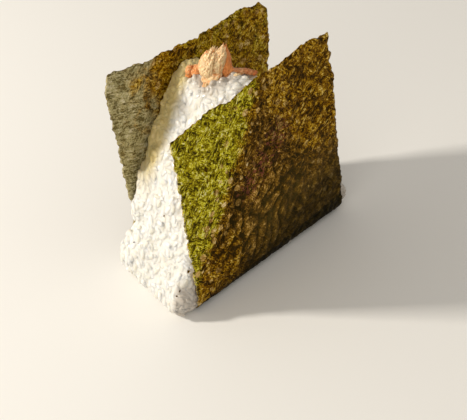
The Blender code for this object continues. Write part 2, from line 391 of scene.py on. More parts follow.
@dataclass(frozen=True)
class SalmonFinish:
    """Grilled salmon: pale flesh, and a deeper orange in the seams and on the side turned from the
    light, partly its own colour and partly painted shade.
    """

    name: str
    pale: Colour = (1.0, 0.75, 0.43)
    flesh: Colour = (1.0, 0.51, 0.205)
    deep: Colour = (1.0, 0.37, 0.105)

    def make(self) -> Material:
        """Build the material.

        Returns:
            The material.
        """
        constants = {
            "Subsurface Weight": 0.10,
            "Subsurface Radius": (1.0, 0.6, 0.35),
            "Subsurface Scale": 0.0012,
        }
        shader = Shader(self.name, constants)
        fibres = shader.stretch(shader.place, (1.0, 1.0, 1.2))
        mottle = shader.clouds(0.55, 3.0, 0.4, fibres)
        # The pale curd is partly the flesh's own and partly painted highlight.
        curd = shader.fade(mottle * 1.3 + shader.clouds(2.2) * 0.4, 0.54, 0.92)
        colour = shader.mix(curd, self.flesh, self.pale)
        deep = shader.fade(shader.attribute("deep") + (mottle - 0.5) * 0.7, 0.2, 0.9)
        colour = shader.mix(deep, colour, self.deep)
        links = {"Base Color": colour, "Roughness": 0.7 - curd * 0.25}
        return shader.finish(links, mottle + curd * 0.5, depth=0.5)


def ease(value: float, start: float, stop: float) -> float:
    """Share that eases from 0 to 1 as a value goes from the start to the stop."""
    share = min(max((value - start) / (stop - start), 0.0), 1.0)
    return share * share * (3.0 - 2.0 * share)


def mesh_data(name: str, mesh: BMesh) -> bpy.types.Mesh:
    """Turn a bmesh into mesh data.

    Args:
        name: Name of the data.
        mesh: The shape, in the frame's metres. It is freed.

    Returns:
        The data.
    """
    data = bpy.data.meshes.new(name)
    mesh.to_mesh(data)
    mesh.free()
    return data


def add_object(name: str, data: bpy.types.ID) -> bpy.types.Object:
    """Put an object with its mesh, lamp or camera into the scene."""
    bpy.context.scene.collection.objects.link(made := bpy.data.objects.new(name, data))
    return made


def add_piece(
    name: str,
    mesh: BMesh,
    material: Material,
    slot: str,
    replaced: tuple[str, ...] = (),
) -> bpy.types.Object:
    """Turn a finished bmesh into a piece of the object.

    Args:
        name: Name of the piece.
        mesh: Its shape, in the frame's metres. It is freed.
        material: Its finish.
        slot: The record's slot that the finish belongs to. It is not used.
        replaced: The CAD nodes that it stands for.

    Returns:
        The piece.
    """
    data = mesh_data(name, mesh)
    data.shade_smooth()
    data.materials.append(material)
    piece = add_object(name, data)
    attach(piece, "root")
    if replaced:
        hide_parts(*replaced)
    triangles = sum(len(face.vertices) - 2 for face in data.polygons)
    LOG.info("%s: %d triangles", name, triangles)
    return piece


def merged_copy(node: str) -> BMesh:
    """Copy a CAD node's shape, with its loose triangles joined.

    Args:
        node: Name of the node.

    Returns:
        The copy.
    """
    mesh = bmesh.new()
    mesh.from_mesh(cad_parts[node].data)
    bmesh.ops.remove_doubles(mesh, verts=mesh.verts, dist=1e-6)
    mesh.normal_update()
    return mesh


def add_ball(mesh: BMesh, detail: int, place: Matrix) -> list[bmesh.types.BMVert]:
    """Add a ball of radius 1 to a mesh, turned and scaled to its place."""
    made = bmesh.ops.create_icosphere(mesh, subdivisions=detail, radius=1.0, matrix=place)
    return made["verts"]


def seat_on(face: bmesh.types.BMFace) -> Matrix:
    """Shift to just above the middle of a face."""
    return Matrix.Translation(face.calc_center_median() + 0.0005 * face.normal)


@dataclass(frozen=True)
class Sheet:
    """One of the strip's two upright sheets.

    Its side is -1 at the front and 1 at the back. Its rises are those of its ragged top from
    left to right, in millimetres, and its leans are how far its free left and right corners
    stand outwards.
    """

    side: float
    height: float
    rises: tuple[float, ...]
    leans: Span


@dataclass
class NoriWrap:
    """The strip of nori, folded up against both faces of the block.

    A place across it runs from -1 at its left edge to 1 at its right, and a distance along it
    from the middle of its base, below 0 towards the front. The bulges are those of its two
    edges along it, in millimetres.
    """

    width: float = 0.0715
    thickness: float = 0.00038
    spacing: float = 0.0376
    fold_radius: float = 0.005
    skew: float = 3.8
    columns: int = 124
    rows: tuple[int, ...] = (126, 12, 26, 12, 124)
    front: Sheet = Sheet(
        -1.0,
        0.0742,
        (
            0.2, 0.5, 0.6, 1.2, 1.8, 0.4, -0.8, 0.4, 1.6,
            1.4, 1.1, 0.8, 1.4, 2.5, 1.9, 1.3, 0.9,
        ),
        (0.0012, 0.0004),
    )
    back: Sheet = Sheet(
        1.0,
        0.0732,
        (
            -0.6, -0.4, -0.4, -0.6, -0.8, -0.3, -0.5, -0.6, -0.3,
            0.1, 0.6, 1.4, 1.9, 2.0, 1.2, 2.1, -1.9,
        ),
        (0.0018, 0.0006),
    )
    left_bulge: tuple[float, ...] = (
        0.0, -0.4, -0.8, -0.7, -0.6, -0.4, -0.2, -0.1, 0.0, 0.0,
        0.0, 0.0, -0.5, -2.4, -2.8, -0.8, -0.2, 0.7, 2.0, 2.6, -0.2,
    )
    right_bulge: tuple[float, ...] = (-0.6, 1.2, 0.8, 1.4, 0.8, 0.0, 0.0, 0.0, 0.2, 0.0, -0.8)
    wobble: float = 0.0007
    wobble_length: float = 0.011
    free_reach: float = 0.030
    billow: float = 0.0008
    billow_size: float = 0.026
    billow_height: float = 0.020
    tear: float = 0.0007
    tear_lengths: Place = (0.0036, 0.0013, 0.0024)
    crinkle: float = 0.00045
    crinkle_size: float = 0.0042
    smooth_foot: float = 0.008
    crease: float = 0.0010
    crease_middle: Span = (-0.006, 0.024)
    crease_reach: Span = (0.022, 0.020)
    weave: float = 0.00034
    rice_offset: float = -0.0022
    rice_foot: float = 0.0464
    rice_peak: float = 0.0832
    crumbs: int = 15
    crumb_sizes: Span = (0.0002, 0.0005)

    def __post_init__(self) -> None:
        """Mix the finish, and work out the lengths that follow from the others."""
        self.base_half = self.spacing / 2 - self.fold_radius
        self.fold_length = self.fold_radius * math.pi / 2
        self.folded = self.base_half + self.fold_length
        self.slope = math.tan(math.radians(self.skew))
        self.slant = math.atan2(self.rice_foot, self.rice_peak)
        self.row_ends = np.concatenate(([0], np.cumsum(self.rows)))
        self.finish = NoriFinish().make()

    def build(self) -> None:
        """Model the strip and the crumbs that fell off it."""
        mesh = bmesh.new()
        bmesh.ops.create_grid(mesh, x_segments=self.columns, y_segments=sum(self.rows), size=1.0)
        across_layer = mesh.verts.layers.float.new("across")
        along_layer = mesh.verts.layers.float.new("along")
        for vertex in mesh.verts:
            across, row = vertex.co.x, (vertex.co.y + 1.0) / 2.0 * sum(self.rows)
            distance = self.strip_distance(row, across)
            vertex[across_layer] = across
            vertex[along_layer] = distance
            vertex.co = self.strip_place(across, distance)
        bmesh.ops.recalc_face_normals(mesh, faces=mesh.faces)
        bmesh.ops.solidify(mesh, geom=mesh.faces[:], thickness=self.thickness)
        bmesh.ops.recalc_face_normals(mesh, faces=mesh.faces)
        mesh.normal_update()
        self.roughen(mesh)
        self.mark_zones(mesh)
        add_piece("nori_strip", mesh, self.finish, "nori", ("nori_wrap",))
        self.scatter_crumbs()

    def torn_edge(self, distance: float, seed: float) -> float:
        """Work out the small jags and nicks of a cut edge.

        Args:
            distance: Distance along the edge.
            seed: Which edge it is.

        Returns:
            How far the edge stands out there.
        """
        coarse, fine, nick = (
            noise.noise(Vector((distance / length, seed, shift)))
            for length, shift in zip(self.tear_lengths, (0.5, 7.5, 20.5))
        )
        return self.tear * (0.7 * coarse + 0.8 * fine - 3.5 * max(0.0, nick - 0.45))

    def strip_distance(self, row: float, across: float) -> float:
        """Spread the rows of the mesh over the ragged sheets, the folds and the base.

        Args:
            row: The row, from 0 at the front sheet's top.
            across: Place across the strip.

        Returns:
            The row's distance along the strip.
        """
        tops = []
        for sheet in (self.front, self.back):
            columns = np.linspace(-1.0, 1.0, len(sheet.rises))
            ragged = MM * float(np.interp(across, columns, sheet.rises))
            skewed = -sheet.side * self.slope * across * self.width / 2
            torn = self.torn_edge(across * self.width / 2, 3.0 + sheet.side)
            standing = sheet.height - self.fold_radius - self.thickness / 2
            tops.append(self.folded + standing + ragged + skewed + torn)
        folds = (-self.folded, -self.base_half, self.base_half, self.folded)
        return float(np.interp(row, self.row_ends, (-tops[0], *folds, tops[1])))

    def strip_place(self, across: float, distance: float) -> Vector:
        """Find a point of the strip's middle surface after folding.

        Args:
            across: Place across the strip.
            distance: Distance along it.

        Returns:
            The place, in the frame's metres.
        """
        sheet = self.front if distance < 0.0 else self.back
        past_base = max(abs(distance) - self.base_half, 0.0)
        turn = min(past_base / self.fold_radius, math.pi / 2)
        y = sheet.side * (min(abs(distance), self.base_half) + self.fold_radius * math.sin(turn))
        z = self.thickness / 2 + self.fold_radius * (1.0 - math.cos(turn))
        z += max(past_base - self.fold_length, 0.0)
        x = across * self.width / 2 + self.slope * distance + self.edge_shift(across, distance)
        lean = sheet.leans[0 if x < 0.0 else 1]
        lean *= ease(self.past_rice(x, z), 0.0, self.free_reach)
        wave = 0.5 + 0.5 * noise.noise(Vector((x, sheet.side, z)) / self.billow_size)
        lean += self.billow * wave * ease(z, 0.0, self.billow_height)
        outward = Vector((0.0, sheet.side * math.sin(turn), -math.cos(turn)))
        return Vector((x, y, z)) + abs(outward.y) * lean * outward

    def edge_shift(self, across: float, distance: float) -> float:
        """Work out the sideways shift of the strip near its two long edges.

        Args:
            across: Place across the strip.
            distance: Distance along it.

        Returns:
            The shift to the right.
        """
        hand = math.copysign(1.0, across)
        bulges = self.left_bulge if hand < 0.0 else self.right_bulge
        ends = self.folded + self.front.height
        bulge = MM * float(np.interp(distance, np.linspace(-ends, ends, len(bulges)), bulges))
        bulge += self.wobble * noise.noise(Vector((distance / self.wobble_length, hand, hand)))
        torn = self.torn_edge(distance, hand)
        return hand * (abs(across) ** 3 * bulge + abs(across) ** 30 * torn)

    def past_rice(self, x: float, z: float) -> float:
        """How far a point of a sheet is past the slanted side of the rice behind it."""
        reach = self.rice_foot * math.cos(self.slant)
        return abs(x - self.rice_offset) * math.cos(self.slant) + z * math.sin(self.slant) - reach

    def wraps(self, place: Vector | np.ndarray, margin: float) -> bool:
        """Whether the strip runs past a place, or within a margin of it sideways."""
        shift = self.slope * math.copysign(self.folded + place[2], place[1])
        return abs(place[0] - shift) < self.width / 2 + margin

    def roughen(self, mesh: BMesh) -> None:
        """Give the strip its crinkles and creases, which its faces share, and its weave.

        Args:
            mesh: The strip.
        """
        height_layer = mesh.verts.layers.float.new("height")
        along_layer = mesh.verts.layers.float["along"]
        (x, z), (wide, high) = self.crease_middle, self.crease_reach
        for vertex in mesh.verts:
            place = vertex.co.copy()
            side = math.copysign(1.0, vertex[along_layer])
            standing = ease(place.z, 0.0, self.smooth_foot)
            outward = Vector((0.0, side * standing, standing - 1.0)).normalized()
            plane = Vector((place.x, 0.012 * side, place.z))
            fold = noise.noise(plane / self.crinkle_size)
            fold += 0.6 * noise.noise(plane / (self.crinkle_size / 2))
            swell = groove = 0.0
            if side < 0.0:
                # The creases slant down to the right, at 35 degrees.
                slanting = 0.82 * place.x - 0.57 * place.z
                rising = 0.57 * place.x + 0.82 * place.z
                wander = noise.noise(Vector((slanting / 0.0040, rising / 0.0080, 3.0)))
                swell = ease(math.hypot((place.x - x) / wide, (place.z - z) / high), 1.35, 0.35)
                groove = max(0.0, 1.0 - 2.8 * abs(wander)) ** 2 * swell
            inner_back = side > 0.0 and vertex.normal.y < 0.0
            height = self.weave_height(place, 5.0 if vertex.normal.y > 0.0 else 9.0, inner_back)
            # The grooves lower the height mark, which paints shade into the creases.
            vertex[height_layer] = height + 0.3 * swell - 1.8 * groove
            crease = self.crease * (0.7 * swell - groove)
            vertex.co += standing * (self.crinkle * fold + crease) * outward
            vertex.co += (0.4 if inner_back else 1.0) * self.weave * (height - 0.5) * vertex.normal
            vertex.co.z = max(vertex.co.z, 0.0)

    def weave_height(self, place: Vector, seed: float, streaked: bool) -> float:
        """Work out the height of the matted strands.

        Args:
            place: The point.
            seed: Which of the strip's faces it is on.
            streaked: Whether the strands all lie nearly the same way there.

        Returns:
            The height, from about 0 to 1.
        """
        x, z = place.x / MM, place.z / MM
        # Streaks lie 14 degrees off the level, and the other strands cross at 50 degrees.
        if streaked:
            along, beside = 0.97 * x - 0.24 * z, 0.24 * x + 0.97 * z
            streak = noise.noise(Vector((along / 5.0, beside / 0.9, seed)))
            return 0.55 + 0.7 * streak + 0.4 * noise.noise(place / 0.0013)
        rising = Vector(((0.64 * x + 0.77 * z) / 3.2, (0.77 * x - 0.64 * z) / 1.15, seed))
        falling = Vector(((0.64 * x - 0.77 * z) / 2.6, (0.77 * x + 0.64 * z) / 1.3, seed + 3.0))
        strands = max(0.0, 1.0 - 3.2 * min(abs(noise.noise(rising)), abs(noise.noise(falling))))
        lump = noise.noise(place / 0.0017) + 0.6 * noise.noise(place / 0.0034)
        return 0.22 + 0.45 * strands + 0.62 * lump

    def mark_zones(self, mesh: BMesh) -> None:
        """Store the strip's marks at its vertices.

        Args:
            mesh: The strip.
        """
        layers = {mark: mesh.verts.layers.float.new(mark) for mark in Mark}
        across_layer = mesh.verts.layers.float["across"]
        for vertex in mesh.verts:
            outer = vertex.normal.y * vertex.co.y > 0.0
            if outer and vertex.co.y < 0.0:
                shares = self.front_marks(vertex.co)
            else:
                shares = self.other_marks(vertex.co, outer)
            shares[Mark.RIM] = ease(abs(vertex[across_layer]), 0.982, 1.0)
            for mark, share in shares.items():
                vertex[layers[mark]] = min(max(share, 0.0), 1.0)

    def front_marks(self, place: Vector) -> dict[Mark, float]:
        """Share out the marks on the front sheet's outer face.

        Args:
            place: The point.

        Returns:
            The marks.
        """
        x, _, z = place / MM
        past = self.past_rice(place.x, place.z) / MM
        left = x < self.rice_offset / MM
        # GREEN and GOLD paint light shining through the sheet past the rice's edge, GOLD also at
        # the lower left.
        lit = 1.0 if left else ease(z, 20.0, 46.0)
        low_left = 0.75 * ease(x, -8.0, -22.0) * ease(z, 36.0, 16.0)
        # Painted shade: dusk darkens the lower right, and foot is a dark band of painted shadow
        # along the sheet's foot.
        dusk = 0.68 * ease(z - 0.40 * (x + 26.0), 19.0, -5.0)
        foot = ease(z - 0.09 * x, 7.6, 5.2)
        streak = abs(0.72 * (z - 45.0) - 0.69 * (x + 2.0))
        band = ease(abs(past + 5.0), 10.5, 3.5)
        return {
            Mark.GOLD: max(0.8 * ease(past, -16.0, -1.0) * lit, low_left),
            Mark.GREEN: (past + 10.5) / 12.0 * ease(x, 0.5, -3.5),
            Mark.DUSK: max(dusk, foot),
            Mark.ROSE: ease(streak, 7.8, 1.8) * ease(abs(x + z - 43.0), 28.0, 14.0),
            Mark.SPECKLED: 0.05 + (0.95 if left else 0.30) * band,
            Mark.CALM: ease(z, 48.0, 18.0) * ease(x, -26.0, 0.0),
        }

    def other_marks(self, place: Vector, outer: bool) -> dict[Mark, float]:
        """Share out the marks on the strip's other faces.

        Args:
            place: The point.
            outer: Whether its face looks away from the rice.

        Returns:
            The marks.
        """
        x, y, z = place / MM
        # KHAKI paints light on the inner face of the back sheet's left part, and DUSK darkens the
        # outer faces.
        return {
            Mark.MOSS: 0.70,
            Mark.GREEN: 0.34 * ease(x, -12.0, 0.0),
            Mark.KHAKI: 0.0 if outer or y < 0.0 else (-5.0 - x) / 22.0,
            Mark.DUSK: 0.62 if outer else 0.0,
            Mark.ROSE: 0.0 if outer else 0.9 * ease(z - 0.8 * x, 96.0, 104.0),
            Mark.SPECKLED: 0.1 if x < -14.0 and not outer else 0.6,
        }

    def scatter_crumbs(self) -> None:
        """Drop dark mossy scraps of nori on the rice along the edges of the sheets."""
        chance = random.Random(31)
        rice = merged_copy("rice")
        slope = [f for f in rice.faces if f.normal.x < -0.5 and f.normal.z > 0.05]
        near = [f for f in slope if f.calc_center_median().y < -0.0145]
        mesh = bmesh.new()
        for number in range(self.crumbs):
            face = chance.choice(near if number % 3 else slope)
            size = chance.uniform(*self.crumb_sizes)
            turn = face.normal.to_track_quat("Z", "Y").to_matrix().to_4x4()
            spin = Matrix.Rotation(chance.uniform(0.0, 6.3), 4, "Z")
            shape = Matrix.Diagonal((size * 1.5, size, size * 0.35, 1.0))
            for vertex in add_ball(mesh, 3, seat_on(face) @ turn @ spin @ shape):
                vertex.co += 0.7 * size * noise.noise_vector(vertex.co / (1.1 * size))
        rice.free()
        mesh.normal_update()
        for mark, share in ((Mark.MOSS, 1.0), (Mark.DUSK, 0.45)):
            layer = mesh.verts.layers.float.new(mark)
            for vertex in mesh.verts:
                vertex[layer] = share
        add_piece("nori_crumbs", mesh, self.finish, "nori")


@dataclass(frozen=True)
class Layer:
    """One upright layer of a flake of salmon, in the flake's own axes in millimetres."""

    middle: Place
    half_size: Place
    lean: float
    ragged: float
    # deep: share of a deeper orange, partly the flesh's own and partly painted shade on a layer
    # turned from the light.
    deep: float
    point: float = 0.0


@dataclass(frozen=True)
class Flake:
    """A flake of salmon: its piece, the CAD node it stands for, its slot, place and layers."""

    name: str
    node: str
    slot: str
    place: Place
    layers: tuple[Layer, ...]


CHUNK = Flake(
    "salmon_chunk_flakes", "salmon_chunk", "salmon", (-0.0032, 0.0002, 0.0730),
    (
        Layer((-2.8, 0.3, 1.6), (1.8, 1.8, 3.6), 0.18, 0.40, 0.45, 0.4),
        Layer((-0.6, 0.0, 2.6), (1.7, 1.8, 3.8), 0.14, 0.45, 0.15, 0.3),
        Layer((-1.9, -1.8, 1.4), (2.7, 2.1, 4.0), 0.14, 0.42, 0.05, 0.3),
        Layer((1.4, -1.4, 2.2), (2.8, 2.2, 5.3), 0.24, 0.20, 0.05, 0.6),
        Layer((3.8, -0.1, 1.3), (2.0, 2.2, 5.3), -0.24, 0.10, 1.0, 0.5),
        Layer((-0.8, -2.9, -2.6), (3.6, 2.4, 2.4), 0.0, 0.10, 0.3),
        Layer((-3.9, -4.1, -5.8), (1.0, 1.2, 3.3), 0.30, 0.10, 0.3),
        Layer((4.2, -1.3, -2.0), (2.4, 1.9, 1.9), 0.0, 0.10, 0.85),
    ),
)
LEFT_FLAKE = Flake(
    "salmon_left_flakes", "salmon_flake_left", "salmon", (-0.0056, 0.0066, 0.0698),
    (
        Layer((-2.2, 0.2, -0.5), (1.0, 1.3, 2.3), 0.1, 0.35, 1.0),
        Layer((-2.3, 0.0, 0.9), (1.0, 1.0, 1.5), 0.2, 0.50, 0.55),
        Layer((0.2, -0.4, 0.5), (1.7, 1.7, 1.9), 0.0, 0.06, 0.62),
    ),
)
# Its dark finish is painted shade.
RIGHT_FLAKE = Flake(
    "salmon_right_flakes", "salmon_flake_right", "salmon_dark", (0.0022, -0.0082, 0.0704),
    (
        Layer((-4.9, 0.5, 0.1), (1.6, 1.4, 1.4), 0.0, 0.20, 0.6),
        Layer((-3.0, 0.8, 0.9), (1.7, 1.2, 1.0), 0.3, 0.30, 0.4),
        Layer((-1.3, 0.6, 1.0), (1.5, 1.2, 0.8), -0.3, 0.30, 0.25),
        Layer((0.3, 0.9, 0.7), (1.5, 1.1, 0.8), 0.3, 0.30, 0.5),
        Layer((1.7, 0.6, 0.3), (1.4, 1.1, 0.7), -0.2, 0.30, 0.4),
        Layer((3.0, 0.8, -0.3), (1.2, 1.0, 0.6), 0.2, 0.30, 0.7),
    ),
)


@dataclass
class SalmonTopping:
    """The flaked salmon on top of the rice, its largest flake first."""

    turn: float = -41.0
    facing: float = -32.0
    tilt: float = 0.34
    clearance: float = 0.0002
    crumbs: int = 16
    crumb_sizes: Span = (0.0003, 0.0009)
    crumb_reach: float = 0.0105
    flakes: tuple[Flake, ...] = (CHUNK, LEFT_FLAKE, RIGHT_FLAKE)

    def __post_init__(self) -> None:
        """Mix the finishes, and find the hollows of the rice that the flakes sit in."""
        # The dark finish is a shaded copy of the salmon's colours: painted shade for the flake that
        # lies in the chunk's shadow.
        dark = ((1.0, 0.56, 0.28), (0.96, 0.39, 0.15), (0.78, 0.23, 0.065))
        self.finishes = {
            "salmon": SalmonFinish("grilled_salmon").make(),
            "salmon_dark": SalmonFinish("shaded_salmon", *dark).make(),
        }
        self.hollows = []
        for low, high in (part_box(flake.node) for flake in self.flakes):
            half = [value + self.clearance for value in (high - low) / 2]
            self.hollows.append(((low + high) / 2, half))

    def build(self) -> None:
        """Model every piece of salmon."""
        for flake in self.flakes:
            finish = self.finishes[flake.slot]
            add_piece(flake.name, self.join_layers(flake), finish, flake.slot, (flake.node,))
        self.scatter_crumbs()

    def covers(self, place: Vector) -> bool:
        """Whether a flake sits on a place of the rice."""
        offsets = ([(p - m) / h for p, m, h in zip(place, *hollow)] for hollow in self.hollows)
        return any(sum(value * value for value in offset) < 0.8 for offset in offsets)

    def join_layers(self, flake: Flake) -> BMesh:
        """Model the layers of one flake and turn them to their place.

        Args:
            flake: The flake.

        Returns:
            Its mesh.
        """
        mesh = bmesh.new()
        deep_layer = mesh.verts.layers.float.new("deep")
        for number, layer in enumerate(flake.layers):
            detail = 5 if layer.half_size[2] > 3.0 else 4
            for vertex in add_ball(mesh, detail, Matrix()):
                vertex[deep_layer] = self.shape_point(vertex, layer, number)
        turn = Matrix.Rotation(math.radians(self.turn), 4, "Z")
        mesh.transform(Matrix.Translation(flake.place) @ turn @ Matrix.Scale(MM, 4))
        bmesh.ops.recalc_face_normals(mesh, faces=mesh.faces)
        return mesh

    def shape_point(self, vertex: bmesh.types.BMVert, layer: Layer, number: int) -> float:
        """Move a point of a unit sphere to its place on a ragged, fibrous layer.

        Args:
            vertex: The point.
            layer: The layer.
            number: Its number, which sets its noise.

        Returns:
            How deep an orange the point has: painted shade in the seams between fibres, added to
                the
            layer's own share.
        """
        a, b, c = vertex.co
        seed = Vector((0.0, 0.0, 13.7 * number))
        square = (abs(b) ** 4 + abs(c) ** 4 + 0.08) ** -0.12
        fibre = abs(noise.noise(Vector((3.0 * a, 4.0 * b, 2.6 * c)) + seed))
        lump = noise.noise(2.3 * vertex.co + seed)
        curd = noise.noise(8.0 * vertex.co - seed) + 0.8 * noise.noise(17.0 * vertex.co + seed)
        swell = 1.0 + 0.12 * lump - 0.16 * fibre + 0.05 * curd
        b, c = b * square * swell, c * square * swell
        narrow = 1.0 - layer.point * ease(c, 0.0, 1.0) ** 1.5
        a, b = a * narrow, b * narrow
        if c > 0.0:
            jag = noise.noise(Vector((4.2 * a, 3.0 * b, 0.0)) + seed) + 0.4 * abs(a)
            c *= 1.0 + layer.ragged * jag
        a = a * swell + 0.25 * (c * c - 0.4)
        size = Vector(layer.half_size)
        offset = Vector((a * size.x + layer.lean * c * size.z, b * size.y, c * size.z))
        offset.y += self.tilt * offset.z
        facing = Matrix.Rotation(math.radians(self.facing), 3, "Z")
        vertex.co = facing @ offset + Vector(layer.middle)
        return min(max(layer.deep + 0.9 * fibre - 0.1, 0.0), 1.0)

    def scatter_crumbs(self) -> None:
        """Drop small crumbs of salmon around the flakes."""
        chance = random.Random(5)
        rice = merged_copy("rice")
        middle = Vector(self.flakes[0].place)
        near = [f for f in rice.faces if f.normal.z > 0.2]
        near = [f for f in near if (f.calc_center_median() - middle).length < self.crumb_reach]
        near = [f for f in near if not self.covers(f.calc_center_median())]
        mesh = bmesh.new()
        for _ in range(self.crumbs):
            face = chance.choice(near)
            size = chance.uniform(*self.crumb_sizes)
            add_ball(mesh, 2, seat_on(face) @ Matrix.Diagonal((size * 1.3, size, size * 0.8, 1.0)))
        for vertex in mesh.verts:
            vertex.co += 0.0003 * noise.noise_vector(vertex.co / 0.0007)
        rice.free()
        mesh.verts.layers.float.new("deep")
        mesh.normal_update()
        add_piece("salmon_crumbs", mesh, self.finishes["salmon"], "salmon")


@dataclass
class RiceBlock:
    """The block of rice: a sticky core covered in real grains.

    The grains stay inside the wrap, and leave the salmon's hollows free.
    """

    nori: NoriWrap
    salmon: SalmonTopping
    length: float = 0.0050
    breadth: float = 0.0024
    length_spread: Span = (0.88, 1.12)
    breadth_spread: Span = (0.90, 1.10)
    bend: float = 0.16
    taper: float = 0.14
    plumpness: float = 0.14
    flatness: float = 0.92
    spacing: float = 0.00150
    tries: int = 14
    sink: Span = (0.0006, 0.0012)
    lump: float = 0.0012
    lump_size: float = 0.0060
    back_hollow: float = 0.0010
    clump_turn: float = 2.2
    clump_size: float = 0.0075
    turn_spread: float = 0.8
    tip_spread: float = 0.22
    dent_place: Place = (-0.0365, 0.0180, 0.0205)
    dent_reach: float = 0.0085
    dent: Place = (0.0038, -0.0022, 0.0)
    core_depth: float = 0.0003
    sticky_step: float = 0.00055
    sticky_depth: float = 0.00005
    steep: float = 0.75
    tuck: float = 0.003
    clearance: float = 0.0006
    wrapped_reach: Span = (0.01842, 0.0007)
    bare_reach: Span = (0.0200, 0.0001)
    seed: int = 12

    def __post_init__(self) -> None:
        """Mix the finish, copy the solid's surface and start the random numbers."""
        self.finish = RiceFinish().make()
        self.surface = merged_copy("rice")
        self.chance = random.Random(self.seed)

    def build(self) -> None:
        """Model the grains and the core."""
        self.add_core(self.add_grains())

    def add_grains(self) -> bpy.types.Object:
        """Cover the bare parts of the block's surface in grains.

        Returns:
            The grains, in one piece.
        """
        pattern = bmesh.new()
        unit = np.array([vertex.co for vertex in add_ball(pattern, 2, Matrix())])
        one = mesh_data("grain", pattern)
        mesh = bmesh.new()
        tints: list[float] = []
        for place, normal in self.seats():
            points = self.grain_points(unit, place, normal)
            one.vertices.foreach_set("co", points.ravel())
            mesh.from_mesh(one)
            tints += [self.chance.random()] * len(unit)
        bpy.data.meshes.remove(one)
        mesh.normal_update()
        self.mark_shades(mesh, tints)
        return add_piece("rice_grains", mesh, self.finish, "rice")

    def add_core(self, grains: bpy.types.Object) -> None:
        """Model the sticky mass that fills the gaps between the grains.

        Args:
            grains: The grains.
        """
        for vertex in self.surface.verts:
            depth = self.core_depth * (1.0 - abs(vertex.normal.y) ** 3)
            vertex.co += self.dented(vertex.co) - depth * vertex.normal
        self.surface.from_mesh(grains.data)
        mass = add_object("sticky_mass", mesh_data("sticky_mass", self.surface))
        remesh = mass.modifiers.new("fuse", "REMESH")
        remesh.mode = "VOXEL"
        remesh.voxel_size = self.sticky_step
        fused = bmesh.new()
        fused.from_object(mass, bpy.context.evaluated_depsgraph_get())
        bpy.data.meshes.remove(mass.data)
        every_way = {f"use_axis_{axis}": True for axis in "xyz"}
        for _ in range(3):
            bmesh.ops.smooth_vert(fused, verts=fused.verts, factor=0.5, **every_way)
        fused.normal_update()
        for vertex in fused.verts:
            vertex.co -= self.sticky_depth * vertex.normal
        self.mark_shades(fused, [0.5] * len(fused.verts))
        add_piece("rice_core", fused, self.finish, "rice", ("rice",))

    def seats(self) -> list[tuple[Vector, Vector]]:
        """Choose the places of the grains, spread evenly over the bare surface.

        Returns:
            The places and the surface's directions there.
        """
        faces = [face for face in self.surface.faces if self.bare(face)]
        areas = [face.calc_area() for face in faces]
        tries = int(self.tries * sum(areas) / self.spacing**2)
        taken: dict[tuple[int, ...], list[Vector]] = {}
        found = []
        for face in self.chance.choices(faces, areas, k=tries):
            shares = sorted((self.chance.random(), self.chance.random()))
            weights = (shares[0], shares[1] - shares[0], 1.0 - shares[1])
            place = sum((w * vertex.co for w, vertex in zip(weights, face.verts)), Vector())
            if self.salmon.covers(place):
                continue
            cell = tuple(math.floor(value / self.spacing) for value in place)
            cells = (tuple(map(sum, zip(cell, step))) for step in product((-1, 0, 1), repeat=3))
            around = (other for near in cells for other in taken.get(near, ()))
            if any((other - place).length < self.spacing for other in around):
                continue
            taken.setdefault(cell, []).append(place)
            normal = sum((w * vertex.normal for w, vertex in zip(weights, face.verts)), Vector())
            found.append((place, normal.normalized()))
        return found

    def bare(self, face: bmesh.types.BMFace) -> bool:
        """Whether a face of the block shows past the wrap, or nearly does."""
        sheeted = abs(face.normal.y) > self.steep or face.normal.z < -self.steep
        return not (sheeted and self.nori.wraps(face.calc_center_median(), -self.tuck))

    def grain_points(self, unit: np.ndarray, place: Vector, normal: Vector) -> np.ndarray:
        """Shape one grain and lay it on the surface, inside the wrap and above the table.

        Args:
            unit: Points of a unit sphere.
            place: Where the grain sits.
            normal: The surface's direction there.

        Returns:
            The grain's points.
        """
        chance = self.chance
        long_half = self.length / 2 * chance.uniform(*self.length_spread)
        wide_half = self.breadth / 2 * chance.uniform(*self.breadth_spread)
        bend = chance.uniform(-self.bend, self.bend)
        taper = chance.uniform(-self.taper, self.taper)
        ends = unit[:, 0]
        plump = (1.0 + self.plumpness * ends**2) * (1.0 - taper * ends)
        shape = np.column_stack(
            (
                long_half * ends,
                wide_half * (unit[:, 1] * plump + bend * (2.0 * ends**2 - 1.0)),
                self.flatness * wide_half * unit[:, 2] * plump,
            )
        )
        uphill = Vector((0.0, 0.0, 1.0)) - normal.z * normal
        if uphill.length < 0.2:
            uphill = Vector((1.0, 0.0, 0.0)) - normal.x * normal
        clump = self.clump_turn * noise.noise(place / self.clump_size + Vector((5.0, 1.0, 9.0)))
        turn = Matrix.Rotation(clump + chance.gauss(0.0, self.turn_spread), 3, normal)
        tip = chance.gauss(0.0, self.tip_spread) * normal
        axis = (turn @ uphill.normalized() + tip).normalized()
        beside = normal.cross(axis).normalized()
        basis = np.array([axis, beside, axis.cross(beside)])
        behind_peak = ease(place.z, 0.066, 0.070) * ease(place.y, 0.0, 0.006)
        swell = self.lump * noise.noise(place / self.lump_size) - self.back_hollow * behind_peak
        seat = place + self.dented(place) + (swell - chance.uniform(*self.sink)) * normal
        points = shape @ basis + np.array(seat)
        for point in points:
            wrapped = self.nori.wraps(point, self.clearance)
            side, foot = self.wrapped_reach if wrapped else self.bare_reach
            point[1:] = min(max(point[1], -side), side), max(point[2], foot)
        return points

    def dented(self, place: Vector) -> Vector:
        """Push at a point of the surface where a few grains have fallen off the back edge."""
        distance = (place - Vector(self.dent_place)).length
        return ease(1.4 * (1.0 - distance / self.dent_reach), 0.0, 1.0) * Vector(self.dent)

